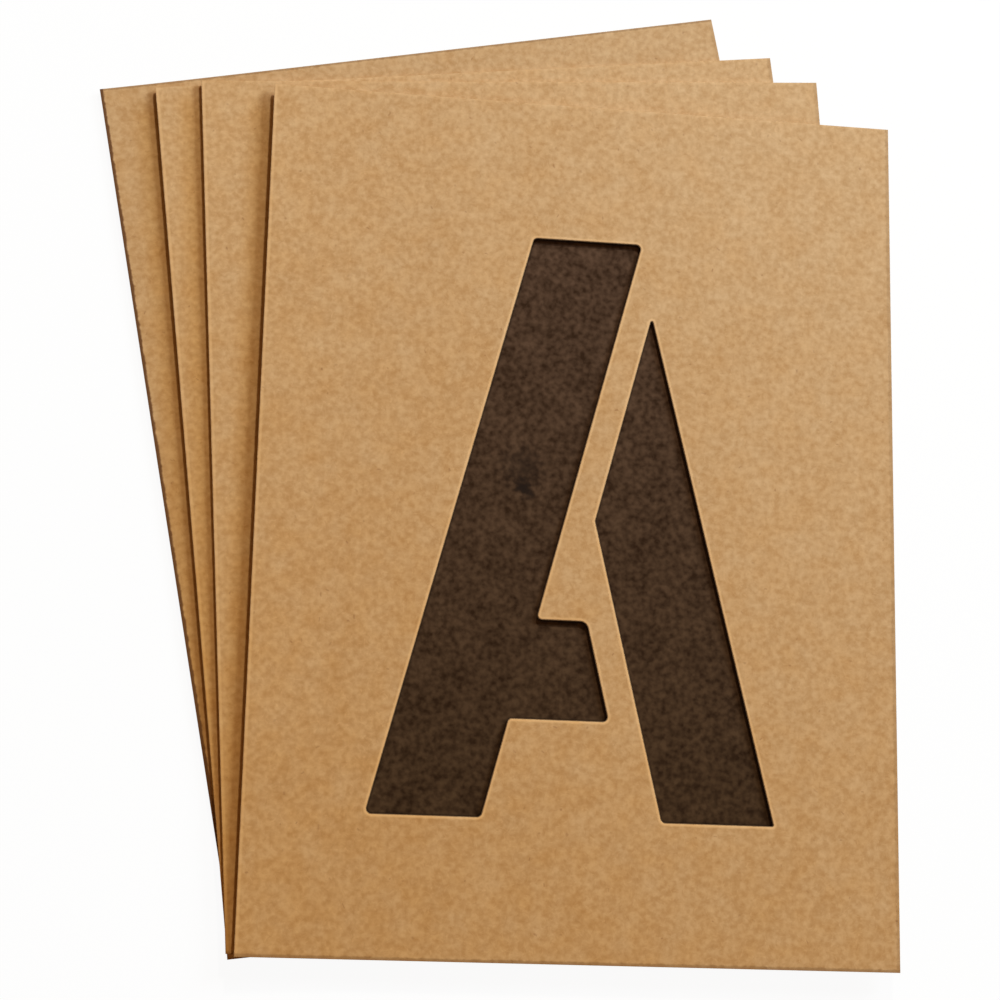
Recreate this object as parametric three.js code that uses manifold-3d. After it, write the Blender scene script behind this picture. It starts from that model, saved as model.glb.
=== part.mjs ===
import * as THREE from 'three';
import { mergeVertices } from 'three/addons/utils/BufferGeometryUtils.js';
import Module from 'manifold-3d';

// A pile of letter stencils: four die-cut cards of oiled board, lettered A to D and fanned
// about their lower left corners, with a dark sheet laid behind the A.
// Millimetres, +Z up. The origin is the middle of the bottom card's underside,
// and the edges of the A card lie along X and Y.

// Cards
const cardWidth = 167.4;
const cardHeight = 226;
const boardThickness = 0.5;
const layGap = 0.3; // left between one sheet and the next in the pile

// Left margin of each card, which has sprung up a little along its whole length
const marginWidth = 30;
const marginLift = 0.5;
const marginSteps = 10;

// Dark sheet behind the A
const sheetWidth = 128;
const sheetHeight = 186;
const sheetThickness = 0.25;

// Letters
const letterHeight = 152.4;
const letterWidth = 104;
const letterShiftX = -1.05; // from the middle of the card
const letterShiftY = -1.1;
const strokeWidth = 28.9; // of an upright or leaning stroke, measured along the line of writing
const barHeight = 25.4;
const bridgeWidth = 8.15;
const cutRadius = 1.2;

// The A: a leaning stem with the bar's stub, and a leg that narrows upwards
const stemTopShift = 2; // how far right of the letter's middle the stem's top end sits
const legTaper = 1.6; // how much narrower the leg would be at the letter's full height
const barRise = 25;
const barTipRadius = 2.2;
const legTipRadius = 0.3;

// The B, C and D
const bowlRadius = 42;
const smallBowlRadius = 36;
const upperBowlInset = 7; // how much narrower the B is above its waist
const waistShare = 0.51; // height of the B's waist over the letter's height
const mouthHeight = 46;

// The fan: each card is turned back over the one below it, about a point that is measured
// to the right of and above the lower card's lower left corner
const fanA = { angle: 4.371, right: -9.1, up: -26 };
const fanB = { angle: 3.155, right: 25.1, up: 6.7 };
const fanC = { angle: 4.066, right: -14.9, up: 22.9 };

const cutOverrun = 2; // how far a cutter runs past both faces
const arcStep = THREE.MathUtils.degToRad(5);

const kraftBoard = new THREE.MeshStandardMaterial({ color: '#c8a070', roughness: 0.85, metalness: 0 });
const darkSheet = new THREE.MeshStandardMaterial({ color: '#4a382c', roughness: 0.9, metalness: 0 });

const letterLeft = letterShiftX - letterWidth / 2;
const letterRight = letterLeft + letterWidth;
const letterBase = letterShiftY - letterHeight / 2;
const letterTop = letterBase + letterHeight;

const wasm = await Module();
wasm.setup();

// The points of an outline whose corners, given as [x, y, radius], are rounded as far as their sides allow
function roundedOutline(corners) {
  return corners.flatMap(([x, y, radius], index) => {
    const corner = new THREE.Vector2(x, y);
    if (radius === 0) return [corner];
    const before = corners.at(index - 1);
    const after = corners[(index + 1) % corners.length];
    const toBefore = new THREE.Vector2(before[0], before[1]).sub(corner);
    const toAfter = new THREE.Vector2(after[0], after[1]).sub(corner);
    const roomBefore = (toBefore.length() * radius) / (radius + before[2]);
    const roomAfter = (toAfter.length() * radius) / (radius + after[2]);
    const halfAngle = Math.abs(toBefore.angleTo(toAfter)) / 2;
    const reach = Math.min(radius / Math.tan(halfAngle), roomBefore, roomAfter);
    const inward = toBefore.normalize().clone().add(toAfter.normalize()).normalize();
    const centre = corner.clone().addScaledVector(inward, reach / Math.cos(halfAngle));
    const first = toBefore.multiplyScalar(reach).add(corner).sub(centre);
    const last = toAfter.multiplyScalar(reach).add(corner).sub(centre);
    const sweep = Math.atan2(first.cross(last), first.dot(last));
    const steps = Math.max(2, Math.round(Math.abs(sweep) / arcStep));
    const origin = new THREE.Vector2();
    return Array.from({ length: steps + 1 }, (_, step) =>
      first.clone().rotateAround(origin, (sweep * step) / steps).add(centre));
  });
}

function rectangle(left, bottom, right, top, leftRadius, rightRadius = leftRadius) {
  return [
    [left, bottom, leftRadius],
    [right, bottom, rightRadius],
    [right, top, rightRadius],
    [left, top, leftRadius],
  ];
}

function solidOf(geometry) {
  geometry.deleteAttribute('normal');
  geometry.deleteAttribute('uv');
  const welded = mergeVertices(geometry);
  return new wasm.Manifold(new wasm.Mesh({
    numProp: 3,
    vertProperties: welded.attributes.position.array,
    triVerts: new Uint32Array(welded.index.array),
  }));
}

function geometryOf(solid) {
  const { vertProperties, triVerts } = solid.getMesh();
  const geometry = new THREE.BufferGeometry();
  geometry.setAttribute('position', new THREE.BufferAttribute(vertProperties, 3));
  geometry.setIndex(new THREE.BufferAttribute(triVerts, 1));
  geometry.computeVertexNormals();
  return geometry;
}

// A cutter of the given outline that runs through a card from below its underside to above its margin
function cutter(corners) {
  const depth = boardThickness + marginLift + 2 * cutOverrun;
  const shape = new THREE.Shape(roundedOutline(corners));
  const geometry = new THREE.ExtrudeGeometry(shape, { depth, bevelEnabled: false });
  geometry.translate(0, 0, -cutOverrun);
  return solidOf(geometry);
}

// The uncut card: a flat board whose left margin rises in an arc, extruded from its end view
function blankCard() {
  const underside = Array.from({ length: marginSteps + 1 }, (_, step) => {
    const share = step / marginSteps;
    return new THREE.Vector2(marginWidth * share - cardWidth / 2, marginLift * (1 - share) ** 2);
  });
  underside.push(new THREE.Vector2(cardWidth / 2, 0));
  const thickness = new THREE.Vector2(0, boardThickness);
  const face = underside.map((point) => point.clone().add(thickness)).reverse();
  const endView = new THREE.Shape([...underside, ...face]);
  const geometry = new THREE.ExtrudeGeometry(endView, { depth: cardHeight, bevelEnabled: false });
  geometry.rotateX(Math.PI / 2);
  geometry.translate(0, cardHeight / 2, 0);
  return solidOf(geometry);
}

// Straight stem of the B and the D
function uprightStem() {
  return cutter(rectangle(letterLeft, letterBase, letterLeft + strokeWidth, letterTop, cutRadius));
}

function letterA() {
  // How far the stem, and each side of the leg, lean in for each unit of rise
  const halfRun = (letterWidth - strokeWidth) / 2;
  const stemLean = (halfRun + stemTopShift) / letterHeight;
  const outerLean = halfRun / letterHeight;
  const innerLean = (halfRun - legTaper) / letterHeight;
  // Where each long edge lies at a given rise above the line of writing
  const stemLeft = (rise) => letterLeft + stemLean * rise;
  const stemRight = (rise) => stemLeft(rise) + strokeWidth;
  const legRight = (rise) => letterRight - outerLean * rise;
  const legLeft = (rise) => letterRight - strokeWidth - innerLean * rise;
  const barRight = (rise) => legLeft(rise) - bridgeWidth;
  const barTop = barRise + barHeight;
  const stem = [
    [stemLeft(0), letterBase, cutRadius],
    [stemRight(0), letterBase, cutRadius],
    [stemRight(barRise), letterBase + barRise, cutRadius],
    [barRight(barRise), letterBase + barRise, cutRadius],
    [barRight(barTop), letterBase + barTop, barTipRadius],
    [stemRight(barTop), letterBase + barTop, cutRadius],
    [stemRight(letterHeight), letterTop, cutRadius],
    [stemLeft(letterHeight), letterTop, cutRadius],
  ];
  // The leg's inner side turns along the stem, one bridge away from it
  const bridgeSide = (rise) => stemRight(rise) + bridgeWidth;
  const kneeRise = (legLeft(0) - bridgeSide(0)) / (stemLean + innerLean);
  const tipRise = (legRight(0) - bridgeSide(0)) / (stemLean + outerLean);
  const leg = [
    [legLeft(0), letterBase, cutRadius],
    [legRight(0), letterBase, legTipRadius],
    [bridgeSide(tipRise), letterBase + tipRise, legTipRadius],
    [bridgeSide(kneeRise), letterBase + kneeRise, cutRadius],
  ];
  return cutter(stem).add(cutter(leg));
}

// A bowl that opens to the left, between two heights and out to a right edge
function bowl(left, bottom, right, top, radius) {
  const counter = rectangle(
    left - cutOverrun, bottom + barHeight, right - strokeWidth, top - barHeight,
    cutRadius, Math.max(radius - strokeWidth, cutRadius),
  );
  return {
    outer: cutter(rectangle(left, bottom, right, top, cutRadius, radius)),
    counter: cutter(counter),
  };
}

function letterB() {
  const left = letterLeft + strokeWidth + bridgeWidth;
  const waist = letterBase + letterHeight * waistShare;
  const upperRight = letterRight - upperBowlInset;
  const upper = bowl(left, waist - barHeight / 2, upperRight, letterTop, smallBowlRadius);
  const lower = bowl(left, letterBase, letterRight, waist + barHeight / 2, smallBowlRadius);
  const bowls = upper.outer.add(lower.outer).subtract(upper.counter).subtract(lower.counter);
  return uprightStem().add(bowls);
}

function letterC() {
  const middleX = (letterLeft + letterRight) / 2;
  const middleY = (letterBase + letterTop) / 2;
  const ring = cutter(rectangle(letterLeft, letterBase, letterRight, letterTop, bowlRadius));
  const counter = cutter(rectangle(
    letterLeft + strokeWidth, letterBase + barHeight, letterRight - strokeWidth, letterTop - barHeight,
    bowlRadius - strokeWidth,
  ));
  const mouth = cutter(rectangle(
    middleX, middleY - mouthHeight / 2, letterRight + cutOverrun, middleY + mouthHeight / 2, cutRadius,
  ));
  const bridges = cutter(rectangle(
    middleX - bridgeWidth / 2, letterBase - cutOverrun, middleX + bridgeWidth / 2, letterTop + cutOverrun,
    cutRadius,
  ));
  return ring.subtract(counter).subtract(mouth).subtract(bridges);
}

function letterD() {
  const left = letterLeft + strokeWidth + bridgeWidth;
  const { outer, counter } = bowl(left, letterBase, letterRight, letterTop, bowlRadius);
  return uprightStem().add(outer.subtract(counter));
}

function stencilCard(name, letter) {
  const mesh = new THREE.Mesh(geometryOf(blankCard().subtract(letter)), kraftBoard);
  mesh.name = name;
  return mesh;
}

function backingSheet() {
  const geometry = new THREE.BoxGeometry(sheetWidth, sheetHeight, sheetThickness);
  geometry.translate(0, 0, sheetThickness / 2);
  const mesh = new THREE.Mesh(geometry, darkSheet);
  mesh.name = 'dark_backing_sheet';
  return mesh;
}

// Lays one group on another: square to it, then turned clockwise about the fan's turning point
function layOver(lower, upper, fan) {
  const turn = new THREE.Group();
  turn.position.set(fan.right - cardWidth / 2, fan.up - cardHeight / 2, boardThickness + layGap);
  turn.rotation.z = -THREE.MathUtils.degToRad(fan.angle);
  upper.position.set(-turn.position.x, -turn.position.y, 0);
  turn.add(upper);
  lower.add(turn);
}

const frontPair = new THREE.Group();
const cardA = stencilCard('stencil_card_a', letterA());
cardA.position.z = sheetThickness + layGap;
frontPair.add(backingSheet(), cardA);

const cardB = new THREE.Group().add(stencilCard('stencil_card_b', letterB()));
const cardC = new THREE.Group().add(stencilCard('stencil_card_c', letterC()));
const cardD = new THREE.Group().add(stencilCard('stencil_card_d', letterD()));
layOver(cardB, frontPair, fanA);
layOver(cardC, cardB, fanB);
layOver(cardD, cardC, fanC);

const pile = new THREE.Group().add(cardD);
pile.rotation.z = THREE.MathUtils.degToRad(fanA.angle + fanB.angle + fanC.angle);

export default pile;
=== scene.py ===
import math

import bmesh
import bpy
from mathutils import Matrix, Vector, noise


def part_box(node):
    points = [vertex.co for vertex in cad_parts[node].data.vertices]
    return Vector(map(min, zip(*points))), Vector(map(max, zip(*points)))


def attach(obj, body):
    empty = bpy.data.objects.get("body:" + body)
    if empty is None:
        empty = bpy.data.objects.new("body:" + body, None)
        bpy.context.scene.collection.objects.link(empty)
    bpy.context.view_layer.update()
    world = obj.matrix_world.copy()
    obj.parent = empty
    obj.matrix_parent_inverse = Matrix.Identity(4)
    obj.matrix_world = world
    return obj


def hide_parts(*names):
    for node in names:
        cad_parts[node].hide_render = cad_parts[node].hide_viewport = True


# A fanned pile of die-cut letter stencils in oiled kraft board, with a dark sheet behind the A.
# Metres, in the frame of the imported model: +Z up, and the A card's edges lie along X and Y.
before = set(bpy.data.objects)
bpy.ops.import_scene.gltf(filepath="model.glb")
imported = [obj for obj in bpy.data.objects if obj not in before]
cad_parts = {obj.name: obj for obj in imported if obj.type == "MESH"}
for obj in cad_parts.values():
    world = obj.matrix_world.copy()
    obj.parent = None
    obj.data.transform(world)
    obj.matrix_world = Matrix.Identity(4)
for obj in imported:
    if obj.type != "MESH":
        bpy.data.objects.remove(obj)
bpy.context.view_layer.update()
mm = 0.001
print("frame loaded:", ", ".join(sorted(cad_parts)))


# A colour as seen on screen, 0 to 255, as the linear value that nodes take
def tone(red, green, blue):
    shares = [value / 255 for value in (red, green, blue)]
    linear = [s / 12.92 if s <= 0.04045 else ((s + 0.055) / 1.055) ** 2.4 for s in shares]
    return (*linear, 1)


cameraView = {
    "lens": 80.14,  # mm
    "sensor": 36,  # mm wide
    "lookAt": (3.4, -11.3, 3.45),  # mm
    "distance": 573.4,  # mm
    "lean": 14.26,  # degrees off straight down
    "fromLeft": 31.38,  # degrees round from the front edge towards the left
    "roll": -1.32,  # degrees
}


def placeCamera(view):
    lean, fromLeft, roll = (math.radians(view[key]) for key in ("lean", "fromLeft", "roll"))
    level = math.sin(lean)
    back = Vector((-level * math.sin(fromLeft), -level * math.cos(fromLeft), math.cos(lean)))
    right = Vector((math.sin(roll), math.cos(roll), 0)).cross(back).normalized()
    turned = Matrix((right, back.cross(right), back)).transposed().to_4x4()
    spot = Vector(view["lookAt"]) * mm + back * view["distance"] * mm
    data = bpy.data.cameras.new("photoCamera")
    data.lens, data.sensor_width = view["lens"], view["sensor"]
    camera = bpy.data.objects.new("photoCamera", data)
    bpy.context.scene.collection.objects.link(camera)
    camera.matrix_world = Matrix.Translation(spot) @ turned
    bpy.context.scene.camera = camera


keyLight = {
    "around": 12,  # degrees from +Y towards +X
    "height": 25,  # degrees above the table
    "distance": 2.2,
    "size": 0.16,
    "power": 41,  # watts
    "colour": (1, 0.97, 0.88),
}
sideLight = {
    "around": 50,
    "height": 19,
    "distance": 2.2,
    "size": 0.68,
    "power": 76,
    "colour": (0.72, 0.87, 1),
}


def hangLight(name, light):
    around, height = math.radians(light["around"]), math.radians(light["height"])
    level = math.cos(height)
    towards = Vector((math.sin(around) * level, math.cos(around) * level, math.sin(height)))
    data = bpy.data.lights.new(name, "AREA")
    data.shape, data.size = "DISK", light["size"]
    data.energy, data.color = light["power"], light["colour"]
    lamp = bpy.data.objects.new(name, data)
    bpy.context.scene.collection.objects.link(lamp)
    lamp.location = towards * light["distance"]
    lamp.rotation_euler = towards.to_track_quat("Z", "Y").to_euler()


# Makes a node; an input that is given a socket is linked to it, and any other value is set
def addNode(tree, kind, inputs=None, **settings):
    made = tree.nodes.new(kind)
    for name, value in settings.items():
        setattr(made, name, value)
    for name, value in (inputs or {}).items():
        if isinstance(value, bpy.types.NodeSocket):
            tree.links.new(value, made.inputs[name])
        else:
            made.inputs[name].default_value = value
    return made


def calc(tree, operation, *values, clamp=False):
    inputs = dict(enumerate(values))
    return addNode(tree, "ShaderNodeMath", inputs, operation=operation, use_clamp=clamp).outputs[0]


def calcVector(tree, operation, *values):
    inputs = dict(enumerate(values))
    return addNode(tree, "ShaderNodeVectorMath", inputs, operation=operation).outputs[0]


def splitPlace(tree, where):
    return addNode(tree, "ShaderNodeSeparateXYZ", {0: where}).outputs


def fade(tree, value, start, end, low=0.0, high=1.0):
    ends = {"Value": value, "From Min": start, "From Max": end, "To Min": low, "To Max": high}
    return addNode(tree, "ShaderNodeMapRange", ends, interpolation_type="SMOOTHSTEP").outputs[0]


def noiseAt(tree, where, scale, detail, roughness=0.5):
    inputs = {"Vector": where, "Scale": scale, "Detail": detail, "Roughness": roughness}
    return addNode(tree, "ShaderNodeTexNoise", inputs).outputs


# With colours, this node's inputs are 0 for the share and 6 and 7 for the two, and 2 is the output
def blendColour(tree, share, first, second, kind="MIX"):
    inputs = {0: share, 6: first, 7: second}
    return addNode(tree, "ShaderNodeMix", inputs, data_type="RGBA", blend_type=kind).outputs[2]


def newGroup(name, inputs, outputs):
    tree = bpy.data.node_groups.new(name, "ShaderNodeTree")
    for label, kind, value in inputs:
        socket = tree.interface.new_socket(label, in_out="INPUT", socket_type=kind)
        if value is not None:
            socket.default_value = value
    for label, kind in outputs:
        tree.interface.new_socket(label, in_out="OUTPUT", socket_type=kind)
    return tree, tree.nodes.new("NodeGroupInput").outputs, tree.nodes.new("NodeGroupOutput").inputs


def useGroup(tree, group, inputs):
    return addNode(tree, "ShaderNodeGroup", inputs, node_tree=group).outputs


strayFibres = {
    "drift": (0.35, (2.5, 2.5, 0)),  # waves to the mm, and mm that they carry the fibres aside
    "curve": 0.35,  # range of the fibres' bends, to the mm
    "full": 0.5,  # share of a fibre's length over which its ends don't fade
    "faintest": 0.4,  # strength of the faintest fibre, where the strongest has 1
}


# Short fibres scattered one to a cell, each at its own angle and slightly curved; lengths in mm
def makeFibreGroup():
    look = strayFibres
    sockets = [
        ("Vector", "NodeSocketVector", None), ("Spacing", "NodeSocketFloat", 2.0),
        ("Length", "NodeSocketFloat", 2.0), ("Width", "NodeSocketFloat", 0.2),
        ("Share", "NodeSocketFloat", 0.5), ("Shift", "NodeSocketFloat", 0.0),
    ]
    tree, given, result = newGroup("strayFibres", sockets, [("Mask", "NodeSocketFloat")])
    moved = calcVector(tree, "ADD", given["Vector"], given["Shift"])
    waves, carried = look["drift"]
    drift = noiseAt(tree, moved, waves, detail=1.0)["Color"]
    centred = calcVector(tree, "SUBTRACT", drift, (0.5, 0.5, 0.5))
    wavy = calcVector(tree, "MULTIPLY_ADD", centred, carried, moved)
    layout = {"Vector": wavy, "Scale": calc(tree, "DIVIDE", 1.0, given["Spacing"])}
    cells = addNode(tree, "ShaderNodeTexVoronoi", layout, voronoi_dimensions="2D").outputs
    pick = addNode(tree, "ShaderNodeSeparateColor", {"Color": cells["Color"]}).outputs
    offset = calcVector(tree, "SUBTRACT", wavy, cells["Position"])
    turn = {"Vector": offset, "Angle": calc(tree, "MULTIPLY", pick["Red"], math.tau)}
    turned = addNode(tree, "ShaderNodeVectorRotate", turn, rotation_type="Z_AXIS").outputs[0]
    along, across, _ = splitPlace(tree, turned)
    halfLength = calc(tree, "MULTIPLY", given["Length"], 0.5)
    fullLength = calc(tree, "MULTIPLY", halfLength, look["full"])
    endFade = fade(tree, calc(tree, "ABSOLUTE", along), fullLength, halfLength, 1, 0)
    curve = calc(tree, "MULTIPLY", calc(tree, "SUBTRACT", pick["Blue"], 0.5), look["curve"])
    sway = calc(tree, "MULTIPLY", calc(tree, "MULTIPLY", along, along), curve)
    aside = calc(tree, "ABSOLUTE", calc(tree, "SUBTRACT", across, sway))
    sideFade = fade(tree, aside, 0.0, calc(tree, "MULTIPLY", given["Width"], 0.5), 1, 0)
    kept = calc(tree, "LESS_THAN", pick["Green"], given["Share"])
    faintest = look["faintest"]
    strength = calc(tree, "MULTIPLY_ADD", pick["Blue"], 1 - faintest, faintest)
    form = calc(tree, "MULTIPLY", endFade, sideFade)
    mask = calc(tree, "MULTIPLY", form, calc(tree, "MULTIPLY", kept, strength))
    tree.links.new(mask, result["Mask"])
    return tree


pressedPulp = {"Blotches": (1.5, 0.42), "Clouds": (2.0, 0.5)}  # detail and roughness of the noise


# The cloudy formation of pressed pulp: blotches of about the given size, on broad faint clouds;
# lengths in mm
def makePulpGroup():
    sockets = [
        ("Vector", "NodeSocketVector", None), ("Size", "NodeSocketFloat", 1.5),
        ("Clouds", "NodeSocketFloat", 14.0), ("Shift", "NodeSocketFloat", 0.0),
    ]
    patterns = [("Blotches", "NodeSocketFloat"), ("Clouds", "NodeSocketFloat")]
    tree, given, result = newGroup("pressedPulp", sockets, patterns)
    moved = calcVector(tree, "ADD", given["Vector"], given["Shift"])
    for label, size in (("Blotches", "Size"), ("Clouds", "Clouds")):
        scale = calc(tree, "DIVIDE", 1.0, given[size])
        tree.links.new(noiseAt(tree, moved, scale, *pressedPulp[label])[0], result[label])
    return tree


fibreGroup = makeFibreGroup()
pulpGroup = makePulpGroup()
print("shader groups made")


def newMaterial(name):
    material = bpy.data.materials.new(name)
    material.use_nodes = True
    tree = material.node_tree
    tree.nodes.clear()
    shader = addNode(tree, "ShaderNodeBsdfPrincipled")
    output = addNode(tree, "ShaderNodeOutputMaterial", {"Surface": shader.outputs[0]})
    return material, tree, shader, output


# Object coordinates turned and moved to a sheet's own middle, in mm, and shifted so that no two
# sheets match
def sheetCoordinates(tree, place, shift):
    middle = Matrix.Rotation(-place["turn"], 4, "Z") @ Vector(place["centre"])
    mapping = addNode(tree, "ShaderNodeMapping", {
        "Vector": addNode(tree, "ShaderNodeTexCoord").outputs["Object"],
        "Scale": (1 / mm, 1 / mm, 1 / mm),
        "Rotation": (0, 0, -place["turn"]),
        "Location": (shift - middle.x / mm, 2 * shift - middle.y / mm, 0),
    })
    return mapping.outputs[0]


# How light a board is from spot to spot, from 0 to 1, and the blotches that this comes from
def mixPulp(tree, where, look):
    cloudSize, cloudy = look["clouds"]
    fineSize, gritty = look["fine"]
    sizes = {"Vector": where, "Size": look["blotches"], "Clouds": cloudSize}
    pulp = useGroup(tree, pulpGroup, sizes)
    fine = noiseAt(tree, where, 1 / fineSize, detail=1.0)[0]
    share = fade(tree, pulp["Blotches"], *look["ends"])
    clouds = calc(tree, "MULTIPLY_ADD", pulp["Clouds"], cloudy, -cloudy / 2)
    grit = calc(tree, "MULTIPLY_ADD", fine, gritty, -gritty / 2)
    share = calc(tree, "ADD", calc(tree, "ADD", share, clouds), grit, clamp=True)
    return share, pulp["Blotches"]


# Lays each kind of fibre over the colour, and gives the new colour and the fibres' masks
def layFibres(tree, where, colour, kinds):
    masks = {}
    for label, (spacing, length, across, kept, shift, ink, strength) in kinds.items():
        masks[label] = useGroup(tree, fibreGroup, {
            "Vector": where, "Spacing": spacing, "Length": length, "Width": across,
            "Share": kept, "Shift": shift,
        })["Mask"]
        colour = blendColour(tree, calc(tree, "MULTIPLY", masks[label], strength), colour, ink)
    return colour, masks


# Inks what an attribute of the mesh marks, such as the pale rim, part burnish and part painted
# highlight, in the look's colour and strength for it
def inkMark(tree, colour, mark, look):
    ink, strength = look[mark]
    mask = addNode(tree, "ShaderNodeAttribute", attribute_name=mark).outputs["Fac"]
    return blendColour(tree, calc(tree, "MULTIPLY", mask, strength), colour, ink)


def setColour(tree, shader, look, colour, height):
    tree.links.new(colour, shader.inputs["Base Color"])
    relief = {"Height": height, "Strength": 1.0, "Distance": look["relief"] * mm}
    bump = addNode(tree, "ShaderNodeBump", relief)
    tree.links.new(bump.outputs[0], shader.inputs["Normal"])


def setGloss(tree, shader, look, share):
    roughness = fade(tree, share, 0.0, 1.0, *look["roughness"])
    tree.links.new(roughness, shader.inputs["Roughness"])
    shader.inputs["Specular IOR Level"].default_value = look["specular"]


kraftFace = {
    "dark": tone(182, 143, 96),
    "light": tone(207, 173, 130),
    "blotches": 1.45,  # mm
    "ends": (0.1, 0.9),  # values of the blotches at which the board is all dark and all light
    "clouds": (9.0, 0.4),  # mm, and how far they change the mix of dark and light
    "fine": (0.42, 0.15),  # the same for the fine grain
    "oiled": (0.93, 0.78, 0.55, 1),  # share of each colour that is left where oil and painted shade darken the board most
    # Oil soaks the board in blots, and painted shade darkens it towards its bottom and left, where
    # less light falls
    "oilBlotsAndShade": {"least": 0.15, "blots": 0.7, "blotSize": 6.2, "shadeDownwards": 0.65, "shadeLeftwards": 0.35},
    # The pale rim is part burnish and part painted highlight
    "rimBurnishAndHighlight": (tone(238, 200, 150), 0.55),
    # The dark cut edge is partly painted shade
    "cutEdge": (tone(40, 22, 8), 0.9),
    "grimeAndShade": tone(88, 50, 16),
    "grimeAndShadeFade": (0.8, 1.6),  # shares of a side's reach at which its dirt and painted shade start to fade, and end
    "ragged": 0.22,  # how far the blotches shift the inner limit of the grime and painted shade, as a share of its reach
    "apart": 61.0,  # mm from one card's pattern to the next one's
    "roughness": (0.66, 0.82),
    "specular": 0.15,
    "relief": 0.006,  # mm
    "raised": (0.5, 0.6),  # how high the fibres and the blotches stand, as shares of the relief
}
# Spacing, length and width in mm, share of the cells that have one, shift in mm, colour, strength
kraftFibres = {
    "pale": (1.7, 2.0, 0.36, 0.8, 3.1, tone(222, 186, 140), 0.24),
    "paleShort": (0.9, 1.0, 0.22, 0.6, 40.8, tone(222, 186, 140), 0.24),
    "dark": (2.3, 2.2, 0.36, 0.7, 78.5, tone(150, 107, 64), 0.17),
    "darkShort": (1.1, 1.1, 0.22, 0.5, 116.2, tone(150, 107, 64), 0.17),
    "fleck": (2.9, 0.9, 0.7, 0.6, 153.9, tone(222, 186, 140), 0.3),
    "speck": (6.5, 0.9, 0.7, 0.28, 191.6, tone(126, 80, 46), 0.45),
}
paintedShadowBeside = {  # painted shadow beside the left edge of the card above, which that lifted edge would cast
    "oiled": (0.92, 0.83, 0.63, 1),  # share of each colour that is left
    "reach": (2.5, 8.5),  # mm from that edge, full and none
    "under": 1.5,  # mm, how soon it fades under the card above
    "corner": 9.0,  # mm down from that card's upper corner to its full strength
}


# Handling dirt along the outer edges, partly painted shadow, darkest where the bottom card meets
# the table and along the bottom edges: at each spot the strongest that any side gives
def edgeGrimeAndShade(tree, x, y, ragged, width, height, grimeAndShade):
    start, end = kraftFace["grimeAndShadeFade"]
    total = grimeAndShade["all"]
    for side, distance in (
        ("left", calc(tree, "ADD", x, width / 2)),
        ("right", calc(tree, "SUBTRACT", width / 2, x)),
        ("bottom", calc(tree, "ADD", y, height / 2)),
        ("top", calc(tree, "SUBTRACT", height / 2, y)),
    ):
        strength, reach = grimeAndShade[side]
        inside = calc(tree, "MULTIPLY_ADD", ragged, reach, distance)
        mask = fade(tree, inside, reach * start, reach * end, strength, 0)
        total = calc(tree, "MAXIMUM", total, mask)
    return total


# Mask of the painted shadow beside the left edge of the card above, fading in downwards from that
# card's upper corner
def paintedShadowMask(tree, above, width, height):
    x, y, _ = splitPlace(tree, sheetCoordinates(tree, above, 0))
    distance = calc(tree, "MULTIPLY_ADD", x, -1, -width / 2)
    out = fade(tree, distance, *paintedShadowBeside["reach"], 1, 0)
    under = fade(tree, distance, -paintedShadowBeside["under"], 0.0)
    down = fade(tree, calc(tree, "SUBTRACT", height / 2, y), 0.0, paintedShadowBeside["corner"])
    return calc(tree, "MULTIPLY", calc(tree, "MULTIPLY", out, under), down)


def makeKraftFace(name, place, shift, width, height, grimeAndShade, above):
    look = kraftFace
    material, tree, shader, _ = newMaterial(name)
    where = sheetCoordinates(tree, place, shift)
    x, y, _ = splitPlace(tree, sheetCoordinates(tree, place, 0))
    share, blotches = mixPulp(tree, where, look)
    colour = blendColour(tree, share, look["dark"], look["light"])
    colour, masks = layFibres(tree, where, colour, kraftFibres)
    # The rim is part painted highlight, and the cut edge partly painted shade
    for mark in ("rimBurnishAndHighlight", "cutEdge"):
        colour = inkMark(tree, colour, mark, look)
    # Oil blots, with painted shade darker towards the bottom and left
    oilBlotsAndShade = look["oilBlotsAndShade"]
    soaked = noiseAt(tree, where, 1 / oilBlotsAndShade["blotSize"], detail=1.0)[0]
    oilAndShade = calc(tree, "MULTIPLY_ADD", soaked, oilBlotsAndShade["blots"], oilBlotsAndShade["least"])
    oilAndShade = calc(tree, "MULTIPLY_ADD", y, -oilBlotsAndShade["shadeDownwards"] / height, oilAndShade)
    oilAndShade = calc(tree, "MULTIPLY_ADD", x, -oilBlotsAndShade["shadeLeftwards"] / width, oilAndShade, clamp=True)
    colour = blendColour(tree, oilAndShade, colour, look["oiled"], "MULTIPLY")
    # Painted shadow beside the left edge of the card above
    if above:
        beside = paintedShadowMask(tree, above, width, height)
        colour = blendColour(tree, beside, colour, paintedShadowBeside["oiled"], "MULTIPLY")
    # Handling dirt and painted shadow along the outer edges
    ragged = calc(tree, "MULTIPLY_ADD", blotches, 4 * look["ragged"], -2 * look["ragged"])
    edgeDarkening = edgeGrimeAndShade(tree, x, y, ragged, width, height, grimeAndShade)
    colour = blendColour(tree, edgeDarkening, colour, look["grimeAndShade"])
    fibresUp, blotchesUp = look["raised"]
    fibres = calc(tree, "SUBTRACT", masks["pale"], masks["dark"])
    relief = calc(tree, "MULTIPLY_ADD", fibres, fibresUp, calc(tree, "MULTIPLY", share, blotchesUp))
    setColour(tree, shader, look, colour, relief)
    setGloss(tree, shader, look, share)
    return material


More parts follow.
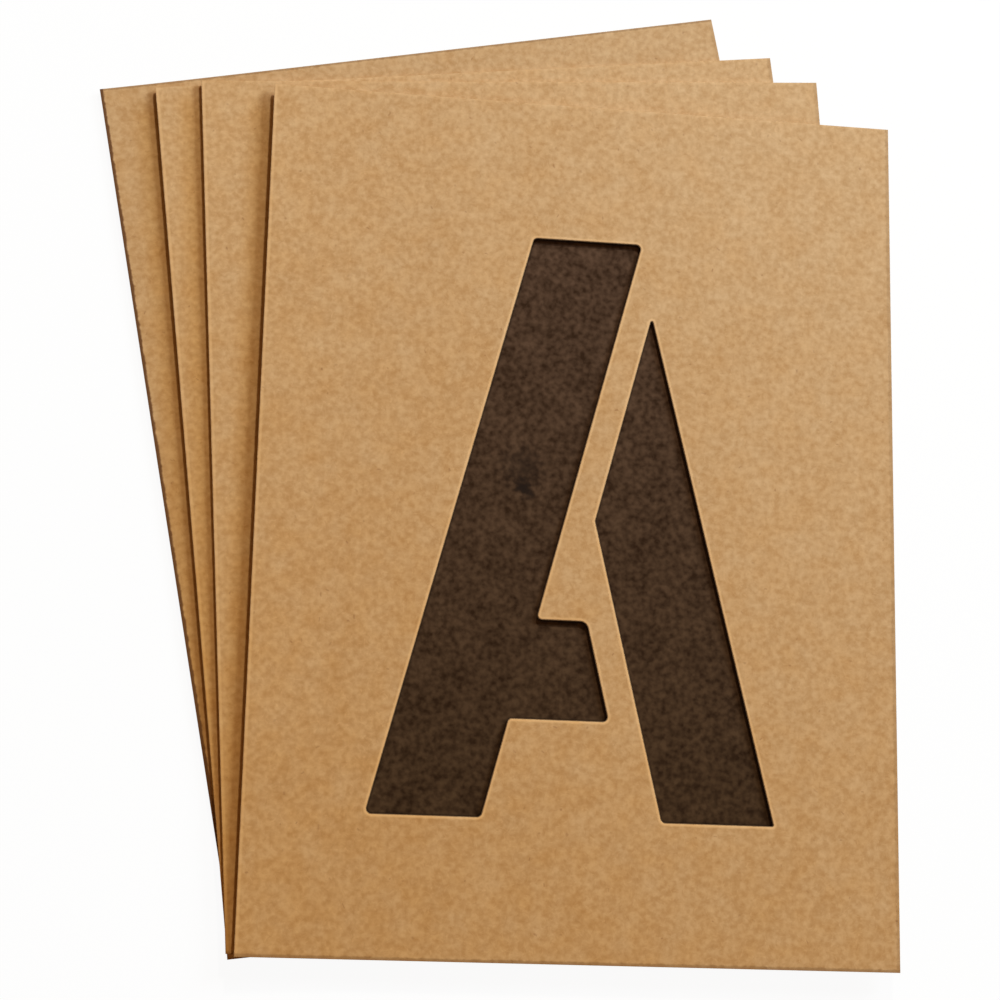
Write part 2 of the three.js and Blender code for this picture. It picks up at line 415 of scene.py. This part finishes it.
cutWall = {
    "core": tone(188, 145, 95),
    "skin": tone(142, 100, 58),
    # Darkens the letter's walls, partly painted shade
    "cutEdge": (tone(40, 22, 8), 0.85),
    "roughness": 0.9,
    "relief": 0.03,  # mm
}
darkWall = {"core": tone(74, 56, 44), "skin": tone(40, 29, 22), "roughness": 0.9, "relief": 0.02}
tornPulp = {  # the layers and tufts that a cut leaves on the wall of any board
    "plies": (0.7, 0.7, 9),  # waves to the mm in each direction
    "ends": (0.35, 0.65),  # values of the plies at which the wall is all skin and all core
    "tufts": (5.0, 0.8),  # waves to the mm, and how far they change the mix of skin and core
}


def makeCutWall(name, place, look):
    material, tree, shader, _ = newMaterial(name)
    where = sheetCoordinates(tree, place, 0)
    layered = {"Vector": where, "Scale": tornPulp["plies"]}
    flat = addNode(tree, "ShaderNodeMapping", layered).outputs[0]
    plies = noiseAt(tree, flat, scale=1.0, detail=3.0, roughness=0.6)[0]
    waves, tufted = tornPulp["tufts"]
    tufts = noiseAt(tree, where, waves, detail=2.0)[0]
    tufts = calc(tree, "MULTIPLY_ADD", tufts, tufted, -tufted / 2)
    share = calc(tree, "ADD", fade(tree, plies, *tornPulp["ends"]), tufts, clamp=True)
    colour = blendColour(tree, share, look["skin"], look["core"])
    if "cutEdge" in look:
        colour = inkMark(tree, colour, "cutEdge", look)
    setColour(tree, shader, look, colour, share)
    shader.inputs["Roughness"].default_value = look["roughness"]
    return material


darkFace = {
    "dark": tone(45, 25, 6),
    "light": tone(90, 67, 51),
    "blotches": 1.5,  # mm
    "ends": (0.12, 0.88),
    "clouds": (4.8, 1.0),  # mm, and how far they change the mix of dark and light
    "fine": (1 / 2.2, 0.2),
    "shadeAtBottom": (0.66, 0.64, 0.45, 1),  # painted shade: share of each colour that is left at the bottom edge
    "smudge": tone(28, 17, 9),
    "edgeDarkening": tone(12, 6, 2),  # painted shade in the hollows beside the cut edges of the card above
    "shadeStrength": 0.92,
    "shadeReach": 0.9,  # mm
    "shadeEnds": (0.45, 0.95),  # how open a spot is where that painted shade is full, and where it ends
    "shadeSamples": 8,
    "roughness": (0.7, 0.85),
    "specular": 0.06,
    "relief": 0.008,  # mm
    "sunken": 0.5,  # depth of the dark fibres, as a share of the relief
}
darkFibres = {  # values in the same order as the kraft board's
    "pale": (1.9, 1.1, 0.4, 0.6, 9.3, tone(98, 78, 62), 0.16),
    "dark": (1.9, 1.1, 0.6, 0.6, 55.1, tone(36, 22, 12), 0.14),
}
smudges = (  # place and width in mm, and strength
    ((9.4, -7.2, 2.65), 3.1, 1.0),
    ((10.5, -8.9, 2.65), 2.7, 0.95),
    ((9.2, -2.5, 2.65), 8.5, 0.55),
)


def makeDarkFace(name, place, shift, height):
    look = darkFace
    material, tree, shader, _ = newMaterial(name)
    where = sheetCoordinates(tree, place, shift)
    share, blotches = mixPulp(tree, where, look)
    colour = blendColour(tree, share, look["dark"], look["light"])
    colour, masks = layFibres(tree, where, colour, darkFibres)
    y = splitPlace(tree, sheetCoordinates(tree, place, 0))["Y"]
    # Painted shade, darker towards the bottom
    low = calc(tree, "MULTIPLY_ADD", y, -1 / height, 0.5, clamp=True)
    colour = blendColour(tree, low, colour, look["shadeAtBottom"], "MULTIPLY")
    spot = addNode(tree, "ShaderNodeTexCoord").outputs["Object"]
    for centre, width, strength in smudges:
        wide = width * mm
        pair = {0: spot, 1: tuple(value * mm for value in centre)}
        away = addNode(tree, "ShaderNodeVectorMath", pair, operation="DISTANCE").outputs["Value"]
        away = calc(tree, "SUBTRACT", away, wide / 2)
        ragged = calc(tree, "MULTIPLY_ADD", blotches, wide, away)
        smudge = fade(tree, ragged, 0.0, wide, strength, 0)
        colour = blendColour(tree, smudge, colour, look["smudge"])
    # Painted shade from ambient occlusion, in the hollows beside the cut edges of the card above
    reach = {"Distance": look["shadeReach"] * mm}
    corners = addNode(tree, "ShaderNodeAmbientOcclusion", reach, samples=look["shadeSamples"])
    occludedShade = fade(tree, corners.outputs["AO"], *look["shadeEnds"], look["shadeStrength"], 0)
    colour = blendColour(tree, occludedShade, colour, look["edgeDarkening"])
    relief = calc(tree, "SUBTRACT", share, calc(tree, "MULTIPLY", masks["dark"], look["sunken"]))
    setColour(tree, shader, look, colour, relief)
    setGloss(tree, shader, look, share)
    return material


def selectOnly(piece):
    bpy.ops.object.select_all(action="DESELECT")
    piece.select_set(True)
    bpy.context.view_layer.objects.active = piece


# The width and height that all the cards have, from the one that lies square in the frame
def cardSize():
    low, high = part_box("stencil_card_a")
    return high.x - low.x, high.y - low.y


# Where a card lies: its middle, and its turn, which follows from how wide its turned box is
def placeOf(nodeName):
    width, height = cardSize()
    low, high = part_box(nodeName)
    reach = min((high.x - low.x) / math.hypot(width, height), 1)
    turn = math.asin(reach) - math.atan2(width, height)
    centre = (low + high) / 2
    return {"centre": (centre.x, centre.y, 0), "turn": turn}


def intoPlace(place):
    return Matrix.Translation(place["centre"]) @ Matrix.Rotation(place["turn"], 4, "Z")


boardFinish = {
    "rings": (0.15, 0.15, 0.3, 0.25, 0.15),  # mm, width of each band of faces inside a cut edge
    # These have a value for the cut edge, and then one for the inner side of each band
    "drops": (0.07, 0.03, 0.01, 0, 0, 0),  # mm, how far the die has rolled the face over
    "glow": (0, 0.3, 1.0, 0.9, 0.35, 0.0),  # how pale the rim is, part burnish and part painted highlight
    "stain": (1.0, 0.7, 0.0, 0.0, 0.0, 0.0),  # how dark the cut edge of a letter is, partly painted shade
    "dropOuter": 0.3,  # share of that drop along a card's outer edges
    "glowLeft": 0.6,  # share of that glow along a card's left edge
    "glowOuter": 0.1,  # and along its other outer edges
    "outline": 2.0,  # mm, what lies nearer to a card's outline than this belongs to it
    "grid": 9.0,  # mm between the cuts that let the face follow the board's waves
    "wave": 0.05,  # mm
    "waveLength": 24.0,  # mm
    "apart": 1000.0,  # mm between one card and the next in the pattern of the waves
    "weld": 0.001,  # mm
    "level": 0.05,  # degrees, the least bend that stays an edge
    "flat": 0.7,  # least upward part of the normal of a face that isn't a wall
    "smooth": 30,  # degrees
}


def facing(face, up):
    return face.normal.z * up > boardFinish["flat"]


def nearOutline(vertex, width, height):
    reach = boardFinish["outline"]
    return abs(vertex.co.x) > width / 2 - reach or abs(vertex.co.y) > height / 2 - reach


# The height of one side of a board across its width, as points along its upper end
def endProfile(shape, height, up):
    points = {vertex for face in shape.faces if facing(face, up) for vertex in face.verts}
    atEnd = [vertex.co for vertex in points if vertex.co.y > height / 2 - boardFinish["weld"]]
    return sorted((point.x, point.z) for point in atEnd)


def heightAt(profile, x):
    for (x0, z0), (x1, z1) in zip(profile, profile[1:]):
        if x <= x1:
            break
    return z0 + (z1 - z0) * (x - x0) / (x1 - x0)


# Selects the open edges on one side of a board whose sides lie at heights 1 and -1
def selectRim(piece, up):
    bpy.ops.mesh.select_all(action="DESELECT")
    shape = bmesh.from_edit_mesh(piece.data)
    for edge in shape.edges:
        edge.select = edge.is_boundary and edge.verts[0].co.z * up > 0
    bmesh.update_edit_mesh(piece.data)


# For each point of the selected open edges, the move that insets both edges there by one unit
def insetMoves(shape, up):
    sides = {}
    for edge in shape.edges:
        if edge.select:
            loop = edge.link_loops[0]
            along = loop.vert.co - loop.link_loop_next.vert.co
            side = up * Vector((-along.y, along.x, 0)).normalized()
            for vertex in edge.verts:
                sides.setdefault(vertex, []).append(side)
    return {
        vertex: (first + second) / (1 + first.dot(second))
        for vertex, (first, second) in sides.items()
    }


# Makes one side of a board as bands along its cut edges and a plain fill inside them
def rimFace(piece, width, height, up):
    finish = boardFinish
    selectRim(piece, up)
    for step, sink in enumerate(finish["drops"]):
        if step:
            bpy.ops.mesh.extrude_edges_indiv()
        shape = bmesh.from_edit_mesh(piece.data)
        layers = shape.verts.layers.float
        glow, stain, drop = (layers[label] for label in ("rimBurnishAndHighlight", "cutEdge", "drop"))
        for vertex, move in insetMoves(shape, up).items():
            # A pale rim, part burnish and part painted highlight, and a dark cut edge, partly
            # painted shade
            outer = nearOutline(vertex, width, height)
            onLeft = vertex.co.x < finish["outline"] - width / 2
            kept = finish["glowLeft"] if onLeft else finish["glowOuter"] if outer else 1
            vertex[glow] = finish["glow"][step] * kept
            vertex[stain] = 0 if outer else finish["stain"][step]
            vertex[drop] = sink * (finish["dropOuter"] if outer else 1)
            if step:
                vertex.co += move * finish["rings"][step - 1]
        bmesh.update_edit_mesh(piece.data)
    bpy.ops.mesh.fill(use_beauty=True)


# Keeps a board's outline and letter only, as walls between heights 1 and -1
def wallsOnly(piece):
    shape = bmesh.from_edit_mesh(piece.data)
    for face in shape.faces:
        face.select = not facing(face, 1)
    bpy.ops.mesh.delete(type="FACE")
    bpy.ops.mesh.select_mode(type="EDGE")
    shape = bmesh.from_edit_mesh(piece.data)
    for vertex in shape.verts:
        vertex.co.z = 1
    bmesh.update_edit_mesh(piece.data)
    selectRim(piece, 1)
    bpy.ops.mesh.extrude_edges_indiv()
    shape = bmesh.from_edit_mesh(piece.data)
    for vertex in shape.verts:
        if vertex.select:
            vertex.co.z = -1
    shape.normal_update()
    bpy.ops.mesh.select_mode(type="FACE")
    for face in shape.faces:
        face.select = abs(face.normal.z) > boardFinish["flat"]
    bmesh.update_edit_mesh(piece.data)
    bpy.ops.mesh.delete(type="FACE")
    bpy.ops.mesh.select_mode(type="EDGE")


# Rebuilds a board from its outline and letter, with cut edges that are rolled over and marked, a
# grid over its faces, and faint waves. The mesh is in mm and centred here, because in metres
# filling takes points so close together as one.
def finishBoard(piece, width, height, seed):
    finish = boardFinish
    selectOnly(piece)
    bpy.ops.mesh.customdata_custom_splitnormals_clear()
    bpy.ops.object.mode_set(mode="EDIT")
    bpy.ops.mesh.select_mode(type="FACE")
    bpy.ops.mesh.select_all(action="SELECT")
    bpy.ops.mesh.remove_doubles(threshold=finish["weld"])
    bpy.ops.mesh.dissolve_limited(angle_limit=math.radians(finish["level"]))
    shape = bmesh.from_edit_mesh(piece.data)
    profiles = {up: endProfile(shape, height, up) for up in (1, -1)}
    for label in ("rimBurnishAndHighlight", "cutEdge", "drop"):
        shape.verts.layers.float.new(label)
    wallsOnly(piece)
    for up in profiles:
        rimFace(piece, width, height, up)
    bpy.ops.mesh.select_all(action="SELECT")
    bpy.ops.mesh.normals_make_consistent(inside=False)
    for axis, side in ((Vector((1, 0, 0)), width), (Vector((0, 1, 0)), height)):
        count = math.ceil(side / finish["grid"])
        for step in range(1, count):
            bpy.ops.mesh.select_all(action="SELECT")
            bpy.ops.mesh.bisect(plane_co=axis * side * (step / count - 0.5), plane_no=axis)
    bpy.ops.object.mode_set(mode="OBJECT")
    drops = piece.data.attributes["drop"]
    for vertex, drop in zip(piece.data.vertices, drops.data):
        up = 1 if vertex.co.z > 0 else -1
        vertex.co.z = heightAt(profiles[up], vertex.co.x) - up * drop.value
    piece.data.attributes.remove(drops)
    for vertex in piece.data.vertices:
        spot = Vector((vertex.co.x, vertex.co.y, seed * finish["apart"])) / finish["waveLength"]
        vertex.co.z += (noise.noise(spot) + 1) / 2 * finish["wave"]
    for face in piece.data.polygons:
        face.material_index = 0 if facing(face, 1) or facing(face, -1) else 1
    bpy.ops.object.shade_smooth_by_angle(angle=math.radians(finish["smooth"]))


# How dark handling dirt and painted shadow make each side, from 0 to 1, and how far in from the
# edge that reaches, in mm, and how dark they make all the face
usualGrimeAndShade = {
    "all": 0.0,
    "left": (0.2, 0.12),
    "right": (0.22, 0.75),
    "bottom": (0.42, 0.65),
    "top": (0.0, 0.2),
}
# The bottom card is darker along its left edge, a painted shadow where it meets the table
bottomGrimeAndShade = {**usualGrimeAndShade, "all": 0.06, "left": (0.94, 0.72), "top": (0.4, 0.5)}
cards = {  # from the lowest up
    "cardD": {
        "node": "stencil_card_d", "body": "card_d", "above": "stencil_card_c",
        "seed": 1, "grimeAndShade": bottomGrimeAndShade,
    },
    "cardC": {
        "node": "stencil_card_c", "body": "card_c", "above": "stencil_card_b",
        "seed": 2, "grimeAndShade": usualGrimeAndShade,
    },
    "cardB": {
        "node": "stencil_card_b", "body": "card_b", "above": "stencil_card_a",
        "seed": 3, "grimeAndShade": usualGrimeAndShade,
    },
    "cardA": {
        "node": "stencil_card_a", "body": "card_a", "above": None,
        "seed": 4, "grimeAndShade": usualGrimeAndShade,
    },
}


def makeCard(name):
    card = cards[name]
    place = placeOf(card["node"])
    width, height = (side / mm for side in cardSize())
    piece = bpy.data.objects.new(name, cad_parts[card["node"]].data.copy())
    bpy.context.scene.collection.objects.link(piece)
    piece.data.materials.clear()
    piece.data.transform(Matrix.Scale(1 / mm, 4) @ intoPlace(place).inverted())
    finishBoard(piece, width, height, card["seed"])
    piece.data.transform(intoPlace(place) @ Matrix.Scale(mm, 4))
    above = placeOf(card["above"]) if card["above"] else None
    shift = kraftFace["apart"] * card["seed"]
    face = makeKraftFace(name + "Face", place, shift, width, height, card["grimeAndShade"], above)
    piece.data.materials.append(face)
    piece.data.materials.append(makeCutWall(name + "CutWall", place, cutWall))
    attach(piece, card["body"])
    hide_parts(card["node"])
    print("made", name, len(piece.data.polygons), "faces")


darkSheet = {"seed": 5, "shift": 17.0}  # seed of its waves, and mm that its pattern is shifted by


# The dark sheet lies as square in the frame as the A card on it
def makeDarkSheet():
    place = {**placeOf("dark_backing_sheet"), "turn": 0}
    low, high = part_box("dark_backing_sheet")
    width, height, thickness = high - low
    bpy.ops.object.select_all(action="DESELECT")
    bpy.ops.mesh.primitive_cube_add(size=1, location=(0, 0, low.z + thickness / 2))
    piece = bpy.context.object
    piece.name = "darkSheet"
    piece.dimensions = (width, height, thickness)
    bpy.ops.object.transform_apply(location=True, rotation=True, scale=True)
    piece.data.transform(Matrix.Scale(1 / mm, 4))
    finishBoard(piece, width / mm, height / mm, darkSheet["seed"])
    piece.data.transform(intoPlace(place) @ Matrix.Scale(mm, 4))
    face = makeDarkFace("darkSheetFace", place, darkSheet["shift"], height / mm)
    piece.data.materials.append(face)
    piece.data.materials.append(makeCutWall("darkSheetWall", place, darkWall))
    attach(piece, "backing")
    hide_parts("dark_backing_sheet")
    print("made darkSheet", len(piece.data.polygons), "faces")


studio = {
    "floorSize": 4.0,
    "floorColour": tone(250, 249, 247),
    "floorRoughness": 0.9,
    "floorGlow": 0.94,  # share of plain white in what the camera sees of the floor
    "white": (1, 1, 1, 1),
    "worldColour": (1, 0.58, 0.26, 1),
    "worldStrength": 0.24,
}


# One for a ray from the camera, a mirror or clear glass, and nought for light on the object
def seenDirectly(tree):
    path = addNode(tree, "ShaderNodeLightPath").outputs
    seen = calc(tree, "MAXIMUM", path["Is Camera Ray"], path["Is Glossy Ray"])
    return calc(tree, "MAXIMUM", seen, path["Is Transmission Ray"])


def layFloor():
    bpy.ops.object.select_all(action="DESELECT")
    bpy.ops.mesh.primitive_plane_add(size=studio["floorSize"], location=(0, 0, 0))
    floor = bpy.context.object
    floor.name = "floor"
    material, tree, shader, output = newMaterial("paleFloor")
    shader.inputs["Base Color"].default_value = studio["floorColour"]
    shader.inputs["Roughness"].default_value = studio["floorRoughness"]
    shader.inputs["Specular IOR Level"].default_value = 0.0
    glow = {"Color": studio["white"], "Strength": 1.0}
    white = addNode(tree, "ShaderNodeEmission", glow).outputs[0]
    share = calc(tree, "MULTIPLY", seenDirectly(tree), studio["floorGlow"])
    parts = {0: share, 1: shader.outputs[0], 2: white}
    mixed = addNode(tree, "ShaderNodeMixShader", parts).outputs[0]
    tree.links.new(mixed, output.inputs["Surface"])
    floor.data.materials.append(material)


def fillWorld():
    world = bpy.data.worlds.new("studio")
    world.use_nodes = True
    tree = world.node_tree
    tree.nodes.clear()
    glow = {"Color": studio["worldColour"], "Strength": studio["worldStrength"]}
    soft = addNode(tree, "ShaderNodeBackground", glow).outputs[0]
    plain = {"Color": studio["white"], "Strength": 1.0}
    white = addNode(tree, "ShaderNodeBackground", plain).outputs[0]
    mixed = addNode(tree, "ShaderNodeMixShader", {0: seenDirectly(tree), 1: soft, 2: white})
    addNode(tree, "ShaderNodeOutputWorld", {"Surface": mixed.outputs[0]})
    bpy.context.scene.world = world


placeCamera(cameraView)
hangLight("keyLight", keyLight)
hangLight("sideLight", sideLight)
layFloor()
fillWorld()
bpy.context.scene.view_settings.view_transform = "Standard"
print("studio ready")

for cardName in cards:
    makeCard(cardName)
makeDarkSheet()
